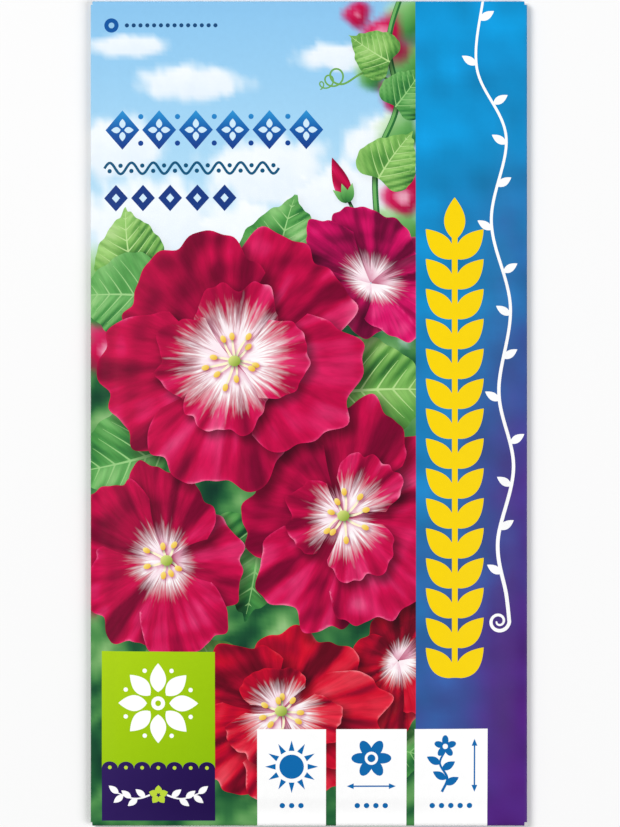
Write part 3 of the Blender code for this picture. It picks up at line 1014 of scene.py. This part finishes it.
def triangles(loops, chains, grid, merge):
    """Triangles in the first loop that follow every loop and chain, all facing one way."""
    edges, count = [], 0
    for line, sides in [(loop, len(loop)) for loop in loops] + [(chain, len(chain) - 1) for chain in chains]:
        edges += [(count + i, count + (i + 1) % len(line)) for i in range(sides)]
        count += len(line)
    points = [Vector(point) for point in np.vstack(loops + chains + [grid])]
    verts, _, faces, *_ = delaunay_2d_cdt(points, edges, [], 0, merge, False)
    verts, faces = np.array([tuple(vert) for vert in verts]), np.array(faces)
    faces = faces[inside(verts[faces].mean(1), loops[0])]
    a, b, c = (verts[faces[:, i]] for i in range(3))
    clockwise = (b - a)[:, 0] * (c - a)[:, 1] < (b - a)[:, 1] * (c - a)[:, 0]
    faces[clockwise] = faces[clockwise][:, ::-1]
    used, numbers = np.unique(faces, return_inverse=True)
    return verts[used], numbers.reshape(faces.shape)


def topmost(xy):
    """The index of the last shape drawn over each point."""
    owner = np.zeros(len(xy), int)
    for number, shape in enumerate(shapes):
        owner[inside(xy, shape.outline)] = number
    return owner


def printed_sheet():
    """Triangles over the whole blank that follow every outline and fold."""
    loops = [closed_steps(blank_outline(), EDGE_STEP)] + [shape.outline for shape in shapes]
    chains = fold_lines(FOLD_LINE_STEP)
    grid, level = grid_points(PITCH, loops[0])
    coarse = np.array([shape.coarse for shape in shapes])
    grid = clear_of(grid[level >= coarse[topmost(grid)]], loops + chains, CLEAR)
    return triangles(loops, chains, grid, merge=1e-4)


def bare_sheet(edge):
    """Larger triangles for the bare inside, which share the cut edge's points."""
    near_fold = 12
    chains = [line[1:-1] for line in fold_lines(INSIDE_PITCH)]
    grid, level = grid_points(INSIDE_PITCH / 2, edge)
    u, v = np.abs(grid).T
    on_front = (u < LEFT_FOLD) & (v < END_FOLD)
    fine = on_front & ((u > LEFT_FOLD - near_fold) | (v > END_FOLD - near_fold))
    grid = clear_of(grid[fine | (level > 1)], [edge] + chains, INSIDE_CLEAR)
    return triangles([edge], chains, grid, merge=1e-5)


def boundary_loop(faces):
    """The vertices along the sheet's cut edge, in order, with the sheet on their left."""
    sides = list(map(tuple, np.vstack([faces[:, [0, 1]], faces[:, [1, 2]], faces[:, [2, 0]]])))
    known = set(sides)
    after = {a: b for a, b in sides if (b, a) not in known}
    start = next(iter(after))
    loop = [start]
    while after[loop[-1]] != start:
        loop.append(after[loop[-1]])
    assert len(loop) == len(after), "the blank has more than one edge"
    return np.array(loop)


def shadows(xy, owner):
    """How much of its light each point keeps, under the shapes drawn over its own."""
    light = np.ones(len(xy))
    takes = np.array([shape.takes for shape in shapes])[owner]
    for number, shape in enumerate(shapes):
        reach = shape.shadow
        if not reach:
            continue
        cast = xy - reach * SHADOW_WAY
        low, high = shape.outline.min(0) - reach, shape.outline.max(0) + reach
        near = np.flatnonzero((owner < number) & ((cast > low) & (cast < high)).all(1))
        if not len(near):
            continue
        gap = distance_to(cast[near], shape.outline)
        gap = np.where(inside(cast[near], shape.outline), gap, -gap)
        light[near] *= 1 - shape.depth * takes[near] * smoothstep(-reach, reach * 0.7, gap)
    return light[:, None]


def painted(verts, faces):
    """The print's values at each triangle's three corners."""
    owner = topmost(verts[faces].mean(1))
    pairs, back = np.unique(owner[:, None] * len(verts) + faces, return_inverse=True)
    pair_owner, xy = pairs // len(verts), verts[pairs % len(verts)]
    values = np.zeros((len(pairs), COLUMNS))
    for number in np.unique(pair_owner):
        mine = pair_owner == number
        values[mine] = shapes[number].paint(xy[mine])
    light = shadows(xy, pair_owner)
    values[:, INK] *= light
    values[:, PALE] *= light**PALE_SHADOW
    return values[back.reshape(faces.shape)]


def linear(colour):
    """From printed sRGB values of 0 to 255 to linear light."""
    share = np.clip(colour / 255, 0, 1)
    return np.where(share <= 0.04045, share / 12.92, ((share + 0.055) / 1.055) ** 2.4)


def atlas(corners, is_inner):
    """A texture map of the flat blank: the front largest, then the wings, flaps and inside."""
    scale, edge = 1 / 162, 0.5
    left, right, end = LEFT_FOLD + BLEED, RIGHT_FOLD + BLEED, END_FOLD + BLEED
    u, v = corners.mean(1)[:, :, None].transpose(1, 0, 2)
    low = -END_TURN - BOTTOM_FLAP
    places = (
        (np.ones(u.shape, bool), 1.0, (-left - edge, -end - edge), (0.002, 0.002)),
        (u > right, 0.75, (right, -END_FOLD), (0.78, 0.01)),
        (u < -left, 0.75, (-LEFT_END, -END_FOLD), (0.55, 0.01)),
        (v < -end, 0.5, (-LEFT_FOLD, low), (0.55, 0.84)),
        (v > end, 0.5, (-LEFT_FOLD, end), (0.55, 0.76)),
        (is_inner, 0.12, (-LEFT_END, low), (0.83, 0.76)),
    )
    found = np.zeros(corners.shape)
    for where, share, corner, place in places:
        found = np.where(where[..., None], (corners - corner) * scale * share + place, found)
    return found


def closed_sheet():
    """The folded sheet in metres, its triangles, its places on the blank, and its print's values."""
    out_uv, out_faces = printed_sheet()
    edge = boundary_loop(out_faces)
    in_uv, in_faces = bare_sheet(out_uv[edge])
    out_mid, out_normal = folded(out_uv)
    in_mid, in_normal = folded(in_uv)
    verts = np.vstack([out_mid + out_normal * PAPER / 2, in_mid - in_normal * PAPER / 2])
    nearest = {tuple(place): i for i, place in enumerate(np.round(in_uv, 3))}
    base = len(out_uv)
    in_edge = base + np.array([nearest[tuple(place)] for place in np.round(out_uv[edge], 3)])
    after, in_after = np.roll(edge, -1), np.roll(in_edge, -1)
    rim = np.vstack([np.stack([edge, in_edge, after], 1), np.stack([after, in_edge, in_after], 1)])
    faces = np.vstack([out_faces, in_faces[:, ::-1] + base, rim])
    return verts / 1000, faces, np.vstack([out_uv, in_uv]), painted(out_uv, out_faces)


def add_layer(mesh, name, kind, field, values):
    layer = mesh.attributes.new(name, kind, "CORNER")
    layer.data.foreach_set(field, values.astype(np.float32).ravel())


def add_print(mesh, printed, count):
    """Lays the print's values on the mesh's corners, with white on those past the print."""
    values = np.zeros((count, 3, COLUMNS))
    values[..., INK] = values[..., PALE] = 250
    values[..., THROAT] = NO_THROAT
    values[: len(printed)] = printed
    for name, columns in (("ink", INK), ("pale", PALE)):
        colour = np.ones((count, 3, 4))
        colour[..., :3] = linear(values[..., columns])
        add_layer(mesh, name, "FLOAT_COLOR", "color", colour)
    add_layer(mesh, "ray", "FLOAT_VECTOR", "vector", values[..., RAY])
    add_layer(mesh, "grain", "FLOAT", "value", values[..., GRAIN])
    add_layer(mesh, "throat", "FLOAT", "value", values[..., THROAT])


def build_packet():
    """The printed sheet, folded, with its bare inside and its cut edge, as one closed mesh."""
    verts, faces, flat_places, printed = closed_sheet()
    bare = np.arange(len(faces)) >= len(printed)
    mesh = bpy.data.meshes.new("packet_print")
    mesh.from_pydata(verts.tolist(), [], faces.tolist())
    mesh.polygons.foreach_set("material_index", bare.astype(np.int32))
    mesh.shade_smooth()
    mesh.set_sharp_from_angle(angle=math.radians(50))
    add_print(mesh, printed, len(faces))
    coordinates = atlas(flat_places[faces], bare[:, None])
    mesh.uv_layers.new(name="OFBake").uv.foreach_set("vector", coordinates.astype(np.float32).ravel())
    mesh.validate()
    mesh.materials.append(printed_paper())
    mesh.materials.append(bare_paper())

    packet = bpy.data.objects.new("packet_print", mesh)
    bpy.context.collection.objects.link(packet)
    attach(packet, "root")
    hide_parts("packet_paper")
    print("packet_print", len(faces), "triangles", len(shapes), "shapes")


# Materials

class Nodes:
    """A short way to write a material's nodes."""

    def __init__(self, name):
        self.material = bpy.data.materials.new(name)
        self.material.use_nodes = True
        self.tree = self.material.node_tree
        self.shader = self.tree.nodes["Principled BSDF"]

    def feed(self, node, inputs):
        """Sets each socket to a number or colour, or links it to another node's output."""
        for socket, source in inputs.items():
            if isinstance(source, (int, float, tuple)):
                node.inputs[socket].default_value = source
            else:
                self.tree.links.new(source, node.inputs[socket])

    def shade(self, **inputs):
        """Feeds the shader's own sockets."""
        self.feed(self.shader, {name.replace("_", " "): source for name, source in inputs.items()})

    def add(self, kind, output, inputs, **settings):
        node = self.tree.nodes.new("ShaderNode" + kind)
        for name, value in settings.items():
            setattr(node, name, value)
        self.feed(node, inputs)
        return node.outputs[output]

    def attribute(self, name, output="Fac"):
        return self.add("Attribute", output, {}, attribute_name=name)

    def place(self):
        return self.add("TexCoord", "Object", {})

    def math(self, operation, first, second):
        return self.add("Math", 0, {0: first, 1: second}, operation=operation)

    def scaled(self, value, by, plus):
        return self.math("ADD", self.math("MULTIPLY", value, by), plus)

    def mix(self, share, first, second, blend="MIX"):
        return self.add("Mix", 2, {0: share, 6: first, 7: second}, data_type="RGBA", blend_type=blend)

    def noise(self, vector, scale, detail=2.0, roughness=0.5):
        inputs = {"Vector": vector, "Scale": scale, "Detail": detail, "Roughness": roughness}
        return self.add("TexNoise", "Fac", inputs)

    def falling(self, value, low, high):
        """1 up to low, and smoothly down to 0 at high."""
        inputs = {"Value": value, "From Min": low, "From Max": high}
        rise = self.add("MapRange", "Result", inputs, interpolation_type="SMOOTHSTEP")
        return self.math("SUBTRACT", 1.0, rise)

    def bump(self, height, strength, distance):
        inputs = {"Strength": strength, "Distance": distance, "Height": height}
        self.shade(Normal=self.add("Bump", "Normal", inputs))


def printed_paper():
    """Satin coated paper. The ink's streaks and pale throats follow the drawn shapes."""
    n = Nodes("printed_paper")
    ink, pale = n.attribute("ink", "Color"), n.attribute("pale", "Color")
    grain, throat, place = n.attribute("grain"), n.attribute("throat"), n.place()
    streak = n.math("SUBTRACT", n.noise(n.attribute("ray", "Vector"), 1.0, 3.0, 0.6), 0.5)
    darker = n.scaled(streak, n.math("MULTIPLY", grain, 2.2), 1.0)
    veined = n.mix(1.0, ink, darker, "MULTIPLY")
    feather = n.scaled(streak, 1.9, throat)
    blush = n.math("MULTIPLY", n.falling(feather, 0.85, 1.75), 0.55)
    whitened = n.mix(n.falling(feather, 0.70, 1.15), n.mix(blush, veined, pale), pale)
    mottle = n.scaled(n.noise(place, 900.0), 0.05, 0.975)
    rough = n.scaled(n.noise(place, 260.0, 3.0), 0.14, 0.38)
    n.shade(Base_Color=n.mix(1.0, whitened, mottle, "MULTIPLY"), Roughness=rough, Specular_IOR_Level=0.10)
    n.bump(n.noise(place, 2600.0, 3.0, 0.6), 0.10, 0.00004)
    return n.material


def bare_paper():
    """The sheet's unprinted side and its cut edge: white, matte and slightly fibrous."""
    n = Nodes("bare_paper")
    fibres = n.noise(n.place(), 1500.0, 4.0, 0.7)
    n.shade(Base_Color=n.mix(fibres, (0.80, 0.79, 0.76, 1), (0.90, 0.90, 0.88, 1)), Roughness=0.8)
    n.bump(fibres, 0.3, 0.00005)
    return n.material


def seed_coat():
    """Dry dark brown seed skin with a fine grain."""
    n = Nodes("seed_coat")
    place = n.place()
    patches, pits = n.noise(place, 700.0, 4.0, 0.65), n.noise(place, 5200.0)
    brown = n.mix(patches, (0.016, 0.010, 0.008, 1), (0.070, 0.042, 0.026, 1))
    n.shade(Base_Color=brown, Roughness=n.scaled(pits, 0.25, 0.5))
    n.bump(pits, 0.4, 0.00008)
    return n.material


def dress_seeds():
    material = seed_coat()
    for name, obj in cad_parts.items():
        if name.startswith("seed_"):
            for slot in obj.material_slots:
                slot.link = "OBJECT"
                slot.material = material


# Floor, light and camera, in metres

def make_floor():
    bpy.ops.mesh.primitive_plane_add(size=12, location=(0, 0, -0.0002))
    floor = bpy.context.object
    floor.name = "floor"
    n = Nodes("floor")
    n.shade(Base_Color=(0.93, 0.93, 0.93, 1), Roughness=0.9, Specular_IOR_Level=0.1)
    floor.data.materials.append(n.material)


def make_lamp(name, place, size, watts):
    data = bpy.data.lights.new(name, "AREA")
    data.shape, data.size, data.energy = "DISK", size, watts
    lamp = bpy.data.objects.new(name, data)
    lamp.location = place
    lamp.rotation_euler = (-Vector(place)).to_track_quat("-Z", "Y").to_euler()
    bpy.context.collection.objects.link(lamp)


def make_light():
    world = bpy.data.worlds.new("studio")
    bpy.context.scene.world = world
    world.use_nodes = True
    glow = world.node_tree.nodes["Background"]
    glow.inputs["Color"].default_value = (1.0, 1.0, 1.0, 1)
    glow.inputs["Strength"].default_value = 0.28
    make_lamp("key", (-1.3, 0.9, 1.5), 1.2, 33)
    make_lamp("fill", (1.4, -0.5, 1.4), 1.4, 21)
    bpy.context.scene.view_settings.view_transform = "Standard"


def make_camera():
    """Straight down on the front, with the packet's ends at the picture's top and bottom."""
    lens, sensor, margin = 200.0, 36.0, 0.4
    frame_height = (HEIGHT + margin) / 1000
    data = bpy.data.cameras.new("camera")
    data.lens, data.sensor_width = lens, sensor
    data.clip_end = 20
    camera = bpy.data.objects.new("camera", data)
    camera.location = (0.0002, 0, frame_height * lens / sensor + FRONT_Z / 1000)
    bpy.context.collection.objects.link(camera)
    bpy.context.scene.camera = camera


def main():
    make_camera()
    draw_ground()
    draw_picture()
    draw_heading()
    draw_badge()
    draw_garland()
    draw_flourish()
    draw_tiles()
    draw_flaps()
    draw_back_print()
    build_packet()
    dress_seeds()
    make_floor()
    make_light()


main()
